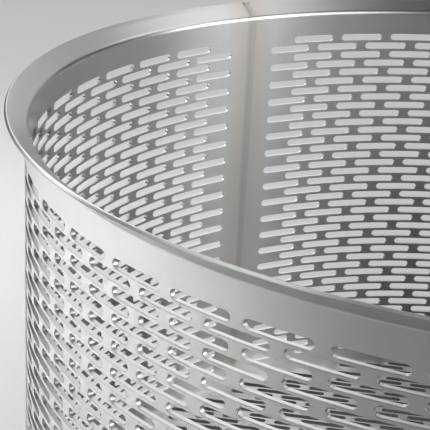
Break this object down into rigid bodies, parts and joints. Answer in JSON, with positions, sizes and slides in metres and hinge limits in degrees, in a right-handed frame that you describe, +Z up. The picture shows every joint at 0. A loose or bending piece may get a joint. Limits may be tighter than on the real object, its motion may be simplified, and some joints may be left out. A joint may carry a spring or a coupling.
{
  "type": "cheese mold",
  "caption": "Open stainless steel cheese mold with a slotted rolled wall, flared rim, welded seam, slotted bottom plate and a notched foot ring.",
  "frame": {"origin": "centre of the foot ring's lower edge, on the table", "axes": "+Z up out of the open mouth, the welded seam runs up the -X side"},
  "size_m": [0.3665, 0.3666, 0.2],
  "materials": {
    "wall_steel": "rolled 2B stainless sheet, faint vertical brushing",
    "plate_steel": "rolled 2B stainless sheet",
    "foot_steel": "stainless flat bar",
    "weld_metal": "TIG weld, brushed, faint heat tint"
  },
  "bodies": {
    "root": {"wall_sheet": "wall_steel", "wall_seam_weld": "weld_metal", "bottom_plate": "plate_steel", "wall_to_bottom_weld": "weld_metal", "foot_ring": "foot_steel", "foot_ring_seam_weld": "weld_metal", "foot_stitch_welds": "weld_metal", "cross_bar_lower": "foot_steel", "cross_bar_upper": "foot_steel", "bar_end_welds": "weld_metal", "bar_to_plate_welds": "weld_metal"}
  },
  "joints": []
}
